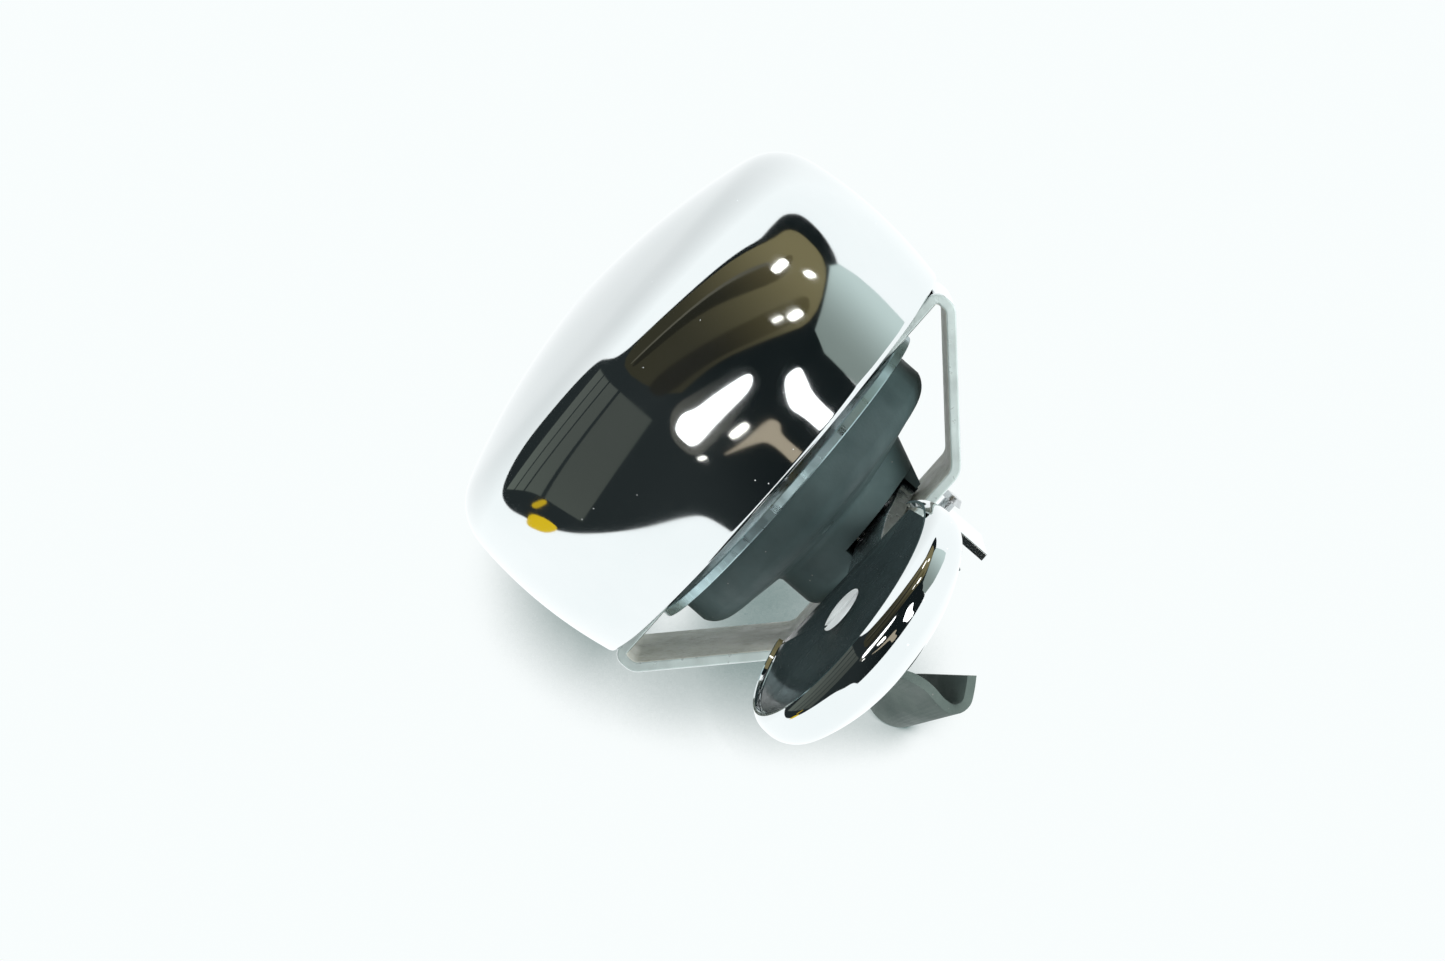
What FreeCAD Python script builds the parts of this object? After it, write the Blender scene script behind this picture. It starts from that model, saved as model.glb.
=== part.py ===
import FreeCAD, Part
import math
import os
import Sketcher

# Thumb-lever gong bell on a U-shaped bar saddle.
# Frame: +Z up the gong's axis, -Y along the lever, +X to the right when the lever points at you.
# Origin: the axis of the bar under the saddle, straight below the gong's centre.  Millimetres.

DIMS = [
    ("bar_r", 15.9),
    ("mouth_z", 39.4),
    # gong: a drawn steel cup, slightly barrelled, with a rounded shoulder and a shallow crown
    ("gong_mouth_r", 29.7),
    ("gong_belly_r", 30.9),
    ("gong_belly_up", 12.5),
    ("gong_side_r", 30.2),
    ("gong_side_up", 20.2),
    ("gong_corner_r", 28.6),
    ("gong_corner_up", 23.9),
    ("gong_crown_r", 24.2),
    ("gong_crown_up", 26.5),
    ("gong_mid_r", 12.4),
    ("gong_mid_up", 29.3),
    ("gong_top_up", 30.4),
    ("gong_wall", 0.8),
    # centre post and what is stacked on it
    ("post_r", 1.6),
    ("post_top_up", 28.6),
    ("boss_r", 4.0),
    ("boss_len", 4.2),
    ("boss_top_up", 29.4),
    ("washer_thick", 0.6),
    ("sleeve_wall", 0.4),
    ("sleeve_gap", 0.05),
    ("nut_flats", 7.0),
    ("nut_thick", 2.8),
    ("spring_washer_thick", 0.7),
    # base plate, the edge ring seen under the mouth
    ("base_r", 22.1),
    ("base_thick", 1.2),
    # housing: stepped black moulding between base plate and bracket
    ("house_r", 19.6),
    ("house_side", 3.4),
    ("house_round_r", 17.0),
    ("house_round_drop", 5.4),
    ("neck_r", 9.8),
    ("neck_drop", 7.0),
    ("neck_foot_r", 8.0),
    ("neck_foot_rise", 1.8),
    ("lobe_x", 4.2),
    ("lobe_top_r", 8.4),
    ("lobe_foot_r", 5.6),
    ("house_cavity_r", 16.4),
    ("house_cavity_deep", 3.2),
    # bracket: one bent strap, two tabs under the mouth, two slanted legs and a flat
    ("strap_width", 18.0),
    ("strap_thick", 1.3),
    ("leg_x", 29.0),
    ("leg_drop", 3.3),
    ("flat_half", 14.6),
    ("flat_drop", 16.9),
    ("tab_end_x", 13.5),
    ("tab_gap", 0.1),
    ("rivet_x", 18.5),
    ("rivet_r", 1.5),
    # saddle and cradle
    ("saddle_half", 9.3),
    ("saddle_long", 15.0),
    ("saddle_thick", 1.0),
    ("saddle_deep", 8.9),
    ("cradle_half", 5.8),
    # lever on its upright shaft
    ("shaft_r", 1.5),
    ("hub_wall", 1.8),
    ("post_to_hub", 0.4),
    ("bush_gap", 0.05),
    ("lever_turn", -15.31),
    ("lever_long", 33.87),
    ("lever_wide", 6.0),
    ("lever_thick", 2.0),
    ("lever_drop", 13.2),
    ("pad_drop", 14.0),
    ("pad_turn", -13.5),
    ("pad_tilt", 8.0),
    ("pad_plate_r", 14.1),
    ("pad_plate_thick", 1.5),
    ("pad_chord", 8.4),
    ("shell_rim_r", 15.0),
    ("shell_belly_r", 15.9),
    ("shell_belly_drop", 2.5),
    ("shell_turn_r", 14.5),
    ("shell_turn_drop", 5.2),
    ("shell_low_r", 9.5),
    ("shell_low_drop", 7.6),
    ("shell_deep", 8.3),
    ("shell_wall", 0.7),
    ("screw_head_r", 2.9),
    ("screw_r", 1.5),
    # hammer inside the gong
    ("hammer_turn", -18.0),
    ("hammer_long", 23.9),
    ("hammer_r", 3.4),
    ("hammer_up", 2.2),
    ("hammer_tall", 6.0),
    ("hammer_arm_wide", 2.2),
    ("hammer_arm_up", 4.0),
    ("hammer_arm_thick", 1.2),
    # return spring
    ("spring_r", 2.6),
    ("spring_wire", 0.25),
    ("spring_pitch", 0.8),
    ("spring_tall", 2.8),
    # rubber strap
    ("rubber_thick", 1.2),
    ("rubber_half", 7.2),
]

doc = FreeCAD.newDocument("lever_bell")
sheet = doc.addObject("Spreadsheet::Sheet", "dims")
for row, (alias, number) in enumerate(DIMS, 1):
    sheet.set("A%d" % row, alias)
    sheet.set("B%d" % row, str(number))
    sheet.setAlias("B%d" % row, alias)
doc.recompute()


class Size:
    """A length that carries both its number and the sheet expression it comes from."""

    def __init__(self, text, number):
        self.text = text
        self.number = number

    @staticmethod
    def of(other):
        return other if isinstance(other, Size) else Size(repr(float(other)), float(other))

    def __add__(self, other):
        other = Size.of(other)
        return Size("(%s + %s)" % (self.text, other.text), self.number + other.number)

    def __radd__(self, other):
        return Size.of(other) + self

    def __sub__(self, other):
        other = Size.of(other)
        return Size("(%s - %s)" % (self.text, other.text), self.number - other.number)

    def __rsub__(self, other):
        return Size.of(other) - self

    def __mul__(self, other):
        other = Size.of(other)
        return Size("(%s * %s)" % (self.text, other.text), self.number * other.number)

    def __rmul__(self, other):
        return Size.of(other) * self

    def __neg__(self):
        return Size("(0 - %s)" % self.text, -self.number)


def sine(angle):
    return Size("sin(%s)" % angle.text, math.sin(math.radians(angle.number)))


def cosine(angle):
    return Size("cos(%s)" % angle.text, math.cos(math.radians(angle.number)))


d = type("Names", (), {})()
for alias, number in DIMS:
    setattr(d, alias, Size("dims." + alias, float(sheet.get(alias))))

# Sizes that follow from others: the lever's hub turns just clear of the post, and the bracket's
# tabs lie just under the mouth with the base plate flush against them.
sleeve_r = d.post_r + d.sleeve_gap + d.sleeve_wall
hub_r = d.shaft_r + d.hub_wall
shaft_x = d.post_r + d.post_to_hub + hub_r
base_drop = d.tab_gap + d.strap_thick

# Levels above the bar's axis that several pieces share.
base_top = d.mouth_z - base_drop
base_low = base_top - d.base_thick
flat_low = d.mouth_z - d.flat_drop
flat_top = flat_low + d.strap_thick
saddle_top = flat_low
saddle_inside = saddle_top - d.saddle_thick


def bind(obj, prop, size):
    size = Size.of(size)
    obj.setExpression(prop, size.text)


def place(obj, x=0, y=0, z=0, rotation=None):
    """Put an object at sheet-driven coordinates, turned by a fixed rotation."""
    spots = [Size.of(v) for v in (x, y, z)]
    base = FreeCAD.Vector(*[s.number for s in spots])
    obj.Placement = FreeCAD.Placement(base, rotation or FreeCAD.Rotation())
    for axis, spot in zip("xyz", spots):
        obj.setExpression("Placement.Base." + axis, spot.text)
    return obj


def cylinder(name, radius, height, x=0, y=0, z=0, rotation=None):
    obj = doc.addObject("Part::Cylinder", name)
    bind(obj, "Radius", radius)
    bind(obj, "Height", height)
    return place(obj, x, y, z, rotation)


def cone(name, low_radius, high_radius, height, x=0, y=0, z=0, rotation=None):
    obj = doc.addObject("Part::Cone", name)
    bind(obj, "Radius1", low_radius)
    bind(obj, "Radius2", high_radius)
    bind(obj, "Height", height)
    return place(obj, x, y, z, rotation)


def box(name, length, width, height, x=0, y=0, z=0, rotation=None):
    obj = doc.addObject("Part::Box", name)
    bind(obj, "Length", length)
    bind(obj, "Width", width)
    bind(obj, "Height", height)
    return place(obj, x, y, z, rotation)


def fuse(name, *shapes):
    obj = doc.addObject("Part::MultiFuse", name)
    obj.Shapes = list(shapes)
    obj.Refine = True
    return obj


def cut(name, base, *tools):
    obj = doc.addObject("Part::Cut", name)
    obj.Base = base
    obj.Tool = tools[0] if len(tools) == 1 else fuse(name + "_tools", *tools)
    return obj


def new_body(name):
    return doc.addObject("PartDesign::Body", name)


def plane_of(body, role):
    for feature in body.Origin.OriginFeatures:
        if feature.Role == role:
            return feature
    raise ValueError(role)


def outline(body, name, role, corners, bows=None):
    """Closed outline on one origin plane: straight edges, or arcs through a point given in bows."""
    bows = bows or {}
    sketch = body.newObject("Sketcher::SketchObject", name)
    sketch.AttachmentSupport = [(plane_of(body, role), "")]
    sketch.MapMode = "FlatFace"
    corners = [(Size.of(x), Size.of(y)) for x, y in corners]
    count = len(corners)
    spots = [FreeCAD.Vector(x.number, y.number, 0) for x, y in corners]
    ends = []

    def pin(geometry, position, spot):
        for kind, axis, size in (("DistanceX", -2, spot[0]), ("DistanceY", -1, spot[1])):
            if abs(size.number) < 1e-9:
                sketch.addConstraint(Sketcher.Constraint("PointOnObject", geometry, position, axis))
                continue
            index = sketch.addConstraint(Sketcher.Constraint(kind, -1, 1, geometry, position, size.number))
            sketch.setExpression("Constraints[%d]" % index, size.text)

    for i in range(count):
        start, end = spots[i], spots[(i + 1) % count]
        if i in bows:
            bow = [Size.of(v) for v in bows[i]]
            middle = FreeCAD.Vector(bow[0].number, bow[1].number, 0)
            anticlockwise = (middle - start).cross(end - middle).z > 0
            first, third = (start, end) if anticlockwise else (end, start)
            index = sketch.addGeometry(Part.Arc(first, middle, third), False)
            ends.append((index, 1, 2) if anticlockwise else (index, 2, 1))
            point = sketch.addGeometry(Part.Point(middle), True)
            pin(point, 1, bow)
            sketch.addConstraint(Sketcher.Constraint("PointOnObject", point, 1, index))
        else:
            index = sketch.addGeometry(Part.LineSegment(start, end), False)
            ends.append((index, 1, 2))
    for i in range(count):
        this_edge, next_edge = ends[i], ends[(i + 1) % count]
        link = (this_edge[0], this_edge[2], next_edge[0], next_edge[1])
        sketch.addConstraint(Sketcher.Constraint("Coincident", *link))
        pin(ends[i][0], ends[i][1], corners[i])
    return sketch


def revolve(body, sketch):
    feature = body.newObject("PartDesign::Revolution", sketch.Name + "_turned")
    feature.Profile = sketch
    feature.ReferenceAxis = (sketch, ["V_Axis"])
    feature.Angle = 360
    return feature


def pad(body, sketch, length, midplane=True):
    feature = body.newObject("PartDesign::Pad", sketch.Name + "_pad")
    feature.Profile = sketch
    feature.Midplane = midplane
    bind(feature, "Length", length)
    return feature


def round_edges(body, feature, name, radius, wanted):
    """Round the edges of a body's last feature that the test picks."""
    doc.recompute()
    picked = ["Edge%d" % (i + 1) for i, edge in enumerate(feature.Shape.Edges) if wanted(edge)]
    fillet = body.newObject("PartDesign::Fillet", name)
    fillet.Base = (feature, picked)
    fillet.Radius = radius
    doc.recompute()
    return fillet


NODES = []


def node(obj, label):
    obj.Label = label
    NODES.append(obj)
    return obj


ALONG_X = FreeCAD.Rotation(FreeCAD.Vector(0, 1, 0), 90)
ALONG_Y = FreeCAD.Rotation(FreeCAD.Vector(1, 0, 0), -90)
TURN = FreeCAD.Rotation(FreeCAD.Vector(0, 0, 1), d.lever_turn.number)
TILT = FreeCAD.Rotation(FreeCAD.Vector(1, 0, 0), d.pad_tilt.number)
PAD_TURN = FreeCAD.Rotation(FreeCAD.Vector(0, 0, 1), d.pad_turn.number).multiply(TILT)
HAMMER_TURN = FreeCAD.Rotation(FreeCAD.Vector(0, 0, 1), d.hammer_turn.number)

# --- gong ---------------------------------------------------------------------------------------
gong = new_body("gong_body")
w = d.gong_wall
gong_sketch = outline(
    gong,
    "gong_profile",
    "XZ_Plane",
    [
        (d.gong_mouth_r, 0),
        (d.gong_side_r, d.gong_side_up),
        (d.gong_crown_r, d.gong_crown_up),
        (0.6, d.gong_top_up),
        (0, d.gong_top_up),
        (0, d.gong_top_up - w),
        (0.6, d.gong_top_up - w),
        (d.gong_crown_r - 0.25 * w, d.gong_crown_up - 0.97 * w),
        (d.gong_side_r - 0.97 * w, d.gong_side_up - 0.15 * w),
        (d.gong_mouth_r - w, 0),
    ],
    {
        0: (d.gong_belly_r, d.gong_belly_up),
        1: (d.gong_corner_r, d.gong_corner_up),
        2: (d.gong_mid_r, d.gong_mid_up),
        6: (d.gong_mid_r - 0.1 * w, d.gong_mid_up - w),
        7: (d.gong_corner_r - 0.72 * w, d.gong_corner_up - 0.7 * w),
        8: (d.gong_belly_r - w, d.gong_belly_up),
    },
)
revolve(gong, gong_sketch)
place(gong, z=d.mouth_z)
node(gong, "gong")

# Threaded boss brazed under the crown, fibre washer and spacing sleeve on the post.
boss = cut(
    "boss",
    cylinder("boss_blank", d.boss_r, d.boss_len, z=d.mouth_z + d.boss_top_up - d.boss_len),
    cylinder("boss_thread", d.post_r, d.boss_len - 0.6, z=d.mouth_z + d.boss_top_up - d.boss_len),
)
node(boss, "gong_boss")
washer_low = d.mouth_z + d.boss_top_up - d.boss_len - d.washer_thick
washer = cut(
    "washer",
    cylinder("washer_blank", d.boss_r + 0.6, d.washer_thick, z=washer_low),
    cylinder("washer_hole", d.post_r + d.sleeve_gap, d.washer_thick, z=washer_low),
)
node(washer, "gong_washer")
sleeve = cut(
    "sleeve",
    cylinder("sleeve_blank", sleeve_r, washer_low - base_top, z=base_top),
    cylinder("sleeve_hole", d.post_r + d.sleeve_gap, washer_low - base_top, z=base_top),
)
node(sleeve, "post_sleeve")
spring_washer_low = saddle_inside - d.spring_washer_thick
nut_low = spring_washer_low - d.nut_thick
post_low = nut_low - 0.5
post = cylinder("post", d.post_r, d.mouth_z + d.post_top_up - post_low, z=post_low)
node(post, "centre_post")
lock = cut(
    "lock",
    cylinder("lock_blank", d.nut_flats * 0.52, d.spring_washer_thick, z=spring_washer_low),
    cylinder("lock_hole", d.post_r + 0.1, d.spring_washer_thick, z=spring_washer_low),
)
node(lock, "spring_washer")
nut_blank = doc.addObject("Part::Prism", "nut_blank")
nut_blank.Polygon = 6
bind(nut_blank, "Circumradius", d.nut_flats * 0.5774)
bind(nut_blank, "Height", d.nut_thick)
place(nut_blank, z=nut_low)
nut = cut("nut", nut_blank, cylinder("nut_hole", d.post_r, d.nut_thick, z=nut_low))
node(nut, "saddle_nut")

# --- base plate ---------------------------------------------------------------------------------
base = cut(
    "base",
    cylinder("base_blank", d.base_r, d.base_thick, z=base_low),
    cylinder("base_post_hole", d.post_r + 0.1, d.base_thick, z=base_low),
    cylinder("base_bush_hole", d.shaft_r + 1.25, d.base_thick, x=shaft_x, z=base_low),
    cylinder("base_rivet_hole_a", d.rivet_r, d.base_thick, x=d.rivet_x, z=base_low),
    cylinder("base_rivet_hole_b", d.rivet_r, d.base_thick, x=-d.rivet_x, z=base_low),
    cylinder("base_small_hole_a", 1.0, d.base_thick, y=13.0, z=base_low),
    cylinder("base_small_hole_b", 1.0, d.base_thick, y=-13.0, z=base_low),
    cylinder("base_pin_hole", 0.8, d.base_thick, x=shaft_x + 6.5, y=4.0, z=base_low),
)
node(base, "base_plate")

# --- housing ------------------------------------------------------------------------------------
house_tall = base_low - flat_top
housing_blank = new_body("housing_blank")
housing_sketch = outline(
    housing_blank,
    "housing_profile",
    "XZ_Plane",
    [
        (0, 0),
        (d.house_r, 0),
        (d.house_r, -d.house_side),
        (d.house_round_r, -d.house_round_drop),
        (d.neck_r + 0.9, -d.neck_drop + 0.25),
        (d.neck_r, -d.neck_drop - 0.75),
        (d.neck_r, -house_tall + d.neck_foot_rise),
        (d.neck_foot_r, -house_tall),
        (0, -house_tall),
    ],
    {
        2: (d.house_r - 0.75, -d.house_round_drop + 0.8),
        4: (d.neck_r + 0.25, -d.neck_drop - 0.1),
        6: (d.neck_r - 0.5, -house_tall + 0.55),
    },
)
revolve(housing_blank, housing_sketch)
place(housing_blank, z=base_low)
lobe_tall = house_tall - d.neck_drop + 0.4
lobe = cone("lobe", d.lobe_foot_r, d.lobe_top_r, lobe_tall, x=d.lobe_x, z=flat_top + 0.6)
slot_low = flat_top
slot_tall = 3.0
housing = cut(
    "housing_cut",
    fuse("housing_solid", housing_blank, lobe),
    cylinder("housing_cavity", d.house_cavity_r, d.house_cavity_deep, z=base_low - d.house_cavity_deep),
    cylinder("housing_post_bore", d.post_r + 0.15, house_tall + 1, z=flat_top - 0.5),
    cylinder("housing_shaft_bore", d.shaft_r + 0.6, house_tall + 1, x=shaft_x, z=flat_top - 0.5),
    cylinder("housing_hub_room", hub_r + 0.5, slot_tall, x=shaft_x, z=slot_low),
    box("housing_slot", 13.0, 14.0, slot_tall, x=shaft_x - 6.4, y=-14.5, z=slot_low),
    cylinder("housing_small_hole_a", 1.0, house_tall * 0.6, y=13.0, z=base_low - house_tall * 0.6),
    cylinder("housing_small_hole_b", 1.0, house_tall * 0.6, y=-13.0, z=base_low - house_tall * 0.6),
)
node(housing, "housing")


def small_rivets(name, radius, head_radius, head_tall, top, length, spots):
    """A pair of rivets: a shank under a low domed head."""
    shapes = []
    for number, (x, y) in enumerate(spots):
        tag = "%s_%d" % (name, number)
        shapes.append(
            fuse(
                tag,
                cylinder(tag + "_shank", radius, length, x=x, y=y, z=top - length),
                cone(tag + "_head", head_radius, head_radius * 0.6, head_tall, x=x, y=y, z=top),
            )
        )
    group = doc.addObject("Part::Compound", name)
    group.Links = shapes
    return group


tab_top = base_top + d.strap_thick
node(
    small_rivets(
        "tab_rivet_set", d.rivet_r, 2.6, 0.9, tab_top, d.strap_thick + d.base_thick, [(d.rivet_x, 0), (-d.rivet_x, 0)]
    ),
    "tab_rivets",
)
node(
    small_rivets("housing_rivet_set", 1.0, 1.8, 0.6, base_top, d.base_thick + 5.8, [(0, 13.0), (0, -13.0)]),
    "housing_rivets",
)

# --- bracket ------------------------------------------------------------------------------------
bracket = new_body("bracket_body")
t = d.strap_thick
slope = math.atan2(d.flat_drop.number - d.leg_drop.number, d.leg_x.number - d.flat_half.number)
lean = math.tan(slope / 2)
upper = base_drop - d.strap_thick
half = [
    (d.tab_end_x, -upper),
    (d.leg_x, -upper),
    (d.leg_x, -d.leg_drop),
    (d.flat_half, -d.flat_drop),
]
inner = [
    (d.flat_half - t * lean, -d.flat_drop + t),
    (d.leg_x - t, -d.leg_drop + t * math.tan(math.pi / 4 - slope / 2)),
    (d.leg_x - t, -upper - t),
    (d.tab_end_x, -upper - t),
]
mirror = [(-x, y) for x, y in reversed(half)]
mirror_inner = [(-x, y) for x, y in reversed(inner)]
bracket_sketch = outline(bracket, "bracket_profile", "XZ_Plane", half + mirror + mirror_inner + inner)
bracket_pad = pad(bracket, bracket_sketch, d.strap_width)


def bend_at(spot):
    """Picks the two mirrored edges that run across the strap through one corner of its profile."""

    def wanted(edge):
        if edge.BoundBox.YLength < 0.9 * d.strap_width.number or edge.BoundBox.XLength > 0.01:
            return False
        off_x = abs(abs(edge.BoundBox.XMin) - spot[0].number)
        return off_x < 0.01 and abs(edge.BoundBox.ZMin - spot[1].number) < 0.01

    return wanted


bent = bracket_pad
bends = [
    ("tab_outer", half[1], 1.6),
    ("leg_outer", half[2], 2.2),
    ("flat_outer", half[3], 3.0),
    ("flat_inner", inner[0], 1.7),
    ("leg_inner", inner[1], 0.9),
    ("tab_inner", inner[2], 0.3),
]
for name, spot, radius in bends:
    bent = round_edges(bracket, bent, name, radius, bend_at(spot))
place(bracket, z=d.mouth_z)
bracket_cut = cut(
    "bracket_cut",
    bracket,
    cylinder("bracket_post_hole", d.post_r + 0.1, d.strap_thick + 1, z=flat_low - 0.5),
    cylinder("bracket_shaft_hole", d.shaft_r + d.bush_gap, d.strap_thick + 1, x=shaft_x, z=flat_low - 0.5),
    cylinder("bracket_rivet_hole_a", d.rivet_r, d.strap_thick + 1, x=d.rivet_x, z=base_top - 0.5),
    cylinder("bracket_rivet_hole_b", d.rivet_r, d.strap_thick + 1, x=-d.rivet_x, z=base_top - 0.5),
)
node(bracket_cut, "bracket")

# --- saddle, its cradle and strap stud ----------------------------------------------------------
saddle = new_body("saddle_body")
s = d.saddle_thick
saddle_sketch = outline(
    saddle,
    "saddle_profile",
    "XZ_Plane",
    [
        (d.saddle_half, 0),
        (d.saddle_half, -d.saddle_deep),
        (d.saddle_half - s, -d.saddle_deep),
        (d.saddle_half - s, -s),
        (-d.saddle_half + s, -s),
        (-d.saddle_half + s, -d.saddle_deep),
        (-d.saddle_half, -d.saddle_deep),
        (-d.saddle_half, 0),
    ],
)
saddle_pad = pad(saddle, saddle_sketch, d.saddle_long)
round_edges(
    saddle,
    saddle_pad,
    "saddle_bends",
    1.2,
    lambda e: e.BoundBox.YLength > 10 and abs(e.BoundBox.ZMin) < 0.01 and e.BoundBox.XLength < 0.01,
)
place(saddle, z=saddle_top)
stud_z = saddle_top - 2.2
rivet_z = saddle_top - 3.6
saddle_cut = cut(
    "saddle_cut",
    saddle,
    cylinder("saddle_post_hole", d.post_r + 0.1, 3.0, z=saddle_top - 2.0),
    cylinder("saddle_stud_hole", 0.8, 3.0, x=d.saddle_half - 2.0, z=stud_z, rotation=ALONG_X),
    cylinder("saddle_rivet_hole", 1.0, 3.0, x=-d.saddle_half - 1.0, z=rivet_z, rotation=ALONG_X),
)
node(saddle_cut, "saddle")
cradle_tall = d.saddle_deep - d.saddle_thick
cradle = cut(
    "cradle_cut",
    box(
        "cradle_blank",
        d.cradle_half * 2,
        d.saddle_long - 0.6,
        cradle_tall,
        x=-d.cradle_half,
        y=(d.saddle_long - 0.6) * -0.5,
        z=saddle_top - d.saddle_deep,
    ),
    cylinder("cradle_bar", d.bar_r, d.saddle_long + 2, y=-(d.saddle_long * 0.5) - 1, rotation=ALONG_Y),
    cylinder("cradle_nut_room", d.nut_flats * 0.65, 4.2, z=saddle_inside - 4.1),
)
node(cradle, "cradle")
stud = fuse(
    "stud",
    cylinder("stud_shank", 0.8, 2.8, x=d.saddle_half - d.saddle_thick - 0.3, z=stud_z, rotation=ALONG_X),
    cone("stud_head", 1.5, 1.1, 0.8, x=d.saddle_half + 1.3, z=stud_z, rotation=ALONG_X),
)
node(stud, "strap_stud")

# --- lever: shaft, arm, D-shaped pad plate, shell, screw and pillar ------------------------------
shaft_low = flat_low + 0.1
shaft_top = d.mouth_z + 7.0
shaft = cylinder("shaft", d.shaft_r, shaft_top - shaft_low, x=shaft_x, z=shaft_low)
node(shaft, "lever_shaft")
bush = cut(
    "bush",
    fuse(
        "bush_blank",
        cylinder("bush_shank", d.shaft_r + 1.25, d.base_thick, x=shaft_x, z=base_low),
        cylinder("bush_flange", d.shaft_r + 2.2, 0.7, x=shaft_x, z=base_top),
    ),
    cylinder("bush_hole", d.shaft_r + d.bush_gap, 3.0, x=shaft_x, z=base_low - 0.5),
)
# The bush's flange is cut away where the post's sleeve stands beside it.
bush_cut = cut("bush_relief", bush, cylinder("bush_relief_tool", sleeve_r + 0.1, 3.0, z=base_low - 0.5))
node(bush_cut, "shaft_bush")

lever = new_body("lever_body")
fall = math.tan(math.radians(d.pad_tilt.number))
plate_under = d.pad_drop + d.pad_plate_thick + 0.05
deck_y = d.lever_long - d.pad_chord - 1.2
deck_drop = plate_under - fall * (d.lever_long - deck_y)
tip_y = d.lever_long + 4.2
tip_drop = plate_under + fall * 4.2
h = d.lever_thick
lever_sketch = outline(
    lever,
    "lever_profile",
    "YZ_Plane",
    [
        (0, -d.lever_drop),
        (-10.5, -d.lever_drop),
        (-deck_y, -deck_drop),
        (-tip_y, -tip_drop),
        (-tip_y, -tip_drop - h),
        (-deck_y, -deck_drop - h),
        (-10.5, -d.lever_drop - h),
        (0, -d.lever_drop - h),
    ],
)
pad(lever, lever_sketch, d.lever_wide)
hole_low = Size.of(6.0)
hub = cylinder("lever_hub", hub_r, d.lever_thick, z=-d.lever_drop - d.lever_thick)
lever_blank = cut(
    "lever_blank",
    fuse("lever_fused", lever, hub),
    cylinder("lever_bore", d.shaft_r, d.lever_thick + 2, z=-d.lever_drop - d.lever_thick - 1),
    cylinder(
        "lever_screw_hole",
        d.screw_r + 0.1,
        hole_low + 2,
        y=-d.lever_long + hole_low * sine(d.pad_tilt),
        z=-d.pad_drop - hole_low * cosine(d.pad_tilt),
        rotation=TILT,
    ),
)
place(lever_blank, x=shaft_x, z=d.mouth_z, rotation=TURN)
node(lever_blank, "lever_arm")

pad_x = shaft_x + d.lever_long * sine(d.lever_turn)
pad_y = -(d.lever_long * cosine(d.lever_turn))
pad_z = d.mouth_z - d.pad_drop

plate = new_body("plate_body")
r = d.pad_plate_r
plate_sketch = outline(
    plate,
    "plate_outline",
    "XY_Plane",
    [
        (r * 0.80, d.pad_chord),
        (r * -0.80, d.pad_chord),
        (r * -0.995, r * 0.1),
        (r * 0.995, r * 0.1),
    ],
    {2: (0, -r)},
)
plate_pad = pad(plate, plate_sketch, d.pad_plate_thick, midplane=False)
plate_pad.Reversed = True
round_edges(
    plate,
    plate_pad,
    "plate_corners",
    0.4,
    lambda e: e.BoundBox.ZLength > 1.0 and abs(e.BoundBox.YMin - d.pad_chord.number) < 0.01,
)
plate_cut = cut(
    "plate_cut",
    plate,
    cone("plate_sink", 1.6, d.screw_head_r + 0.05, d.pad_plate_thick, z=-d.pad_plate_thick),
)
place(plate_cut, x=pad_x, y=pad_y, z=pad_z, rotation=PAD_TURN)
node(plate_cut, "lever_plate")

shell = new_body("shell_body")
v = d.shell_wall
proud = 0.3
shell_sketch = outline(
    shell,
    "shell_profile",
    "XZ_Plane",
    [
        (d.shell_rim_r, proud),
        (d.shell_turn_r, -d.shell_turn_drop),
        (0.5, -d.shell_deep),
        (0, -d.shell_deep),
        (0, -d.shell_deep + v),
        (0.5, -d.shell_deep + v),
        (d.shell_turn_r - 0.8 * v, -d.shell_turn_drop + 0.6 * v),
        (d.shell_rim_r - v, proud),
    ],
    {
        0: (d.shell_belly_r, -d.shell_belly_drop),
        1: (d.shell_low_r, -d.shell_low_drop),
        5: (d.shell_low_r - 0.15 * v, -d.shell_low_drop + v),
        6: (d.shell_belly_r - v, -d.shell_belly_drop),
    },
)
revolve(shell, shell_sketch)
shell_cut = cut(
    "shell_cut",
    shell,
    box("shell_chord", 40.0, 20.0, 20.0, x=-20.0, y=d.pad_chord + 0.9, z=-15.0),
)
place(shell_cut, x=pad_x, y=pad_y, z=pad_z, rotation=PAD_TURN)
node(shell_cut, "lever_shell")

screw_long = 6.9
screw = cut(
    "screw_cut",
    fuse(
        "screw_blank",
        cone("screw_head", d.screw_r, d.screw_head_r, 1.45, z=-1.45),
        cylinder("screw_shank", d.screw_r, screw_long, z=-screw_long),
    ),
    box("screw_slot", 8.0, 0.8, 1.0, x=-4.0, y=-0.4, z=-0.8),
)
place(screw, x=pad_x, y=pad_y, z=pad_z, rotation=PAD_TURN)
node(screw, "lever_screw")

pillar_top = d.pad_plate_thick + d.lever_thick + 0.15
pillar_low = d.shell_deep - d.shell_wall
pillar = cut(
    "pillar_cut",
    cylinder("pillar_blank", 2.9, pillar_low - pillar_top - 0.08, z=-pillar_low + 0.08),
    cylinder("pillar_hole", d.screw_r, 8.0, z=-pillar_low + 0.6),
)
place(pillar, x=pad_x, y=pad_y, z=pad_z, rotation=PAD_TURN)
node(pillar, "shell_pillar")

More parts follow.
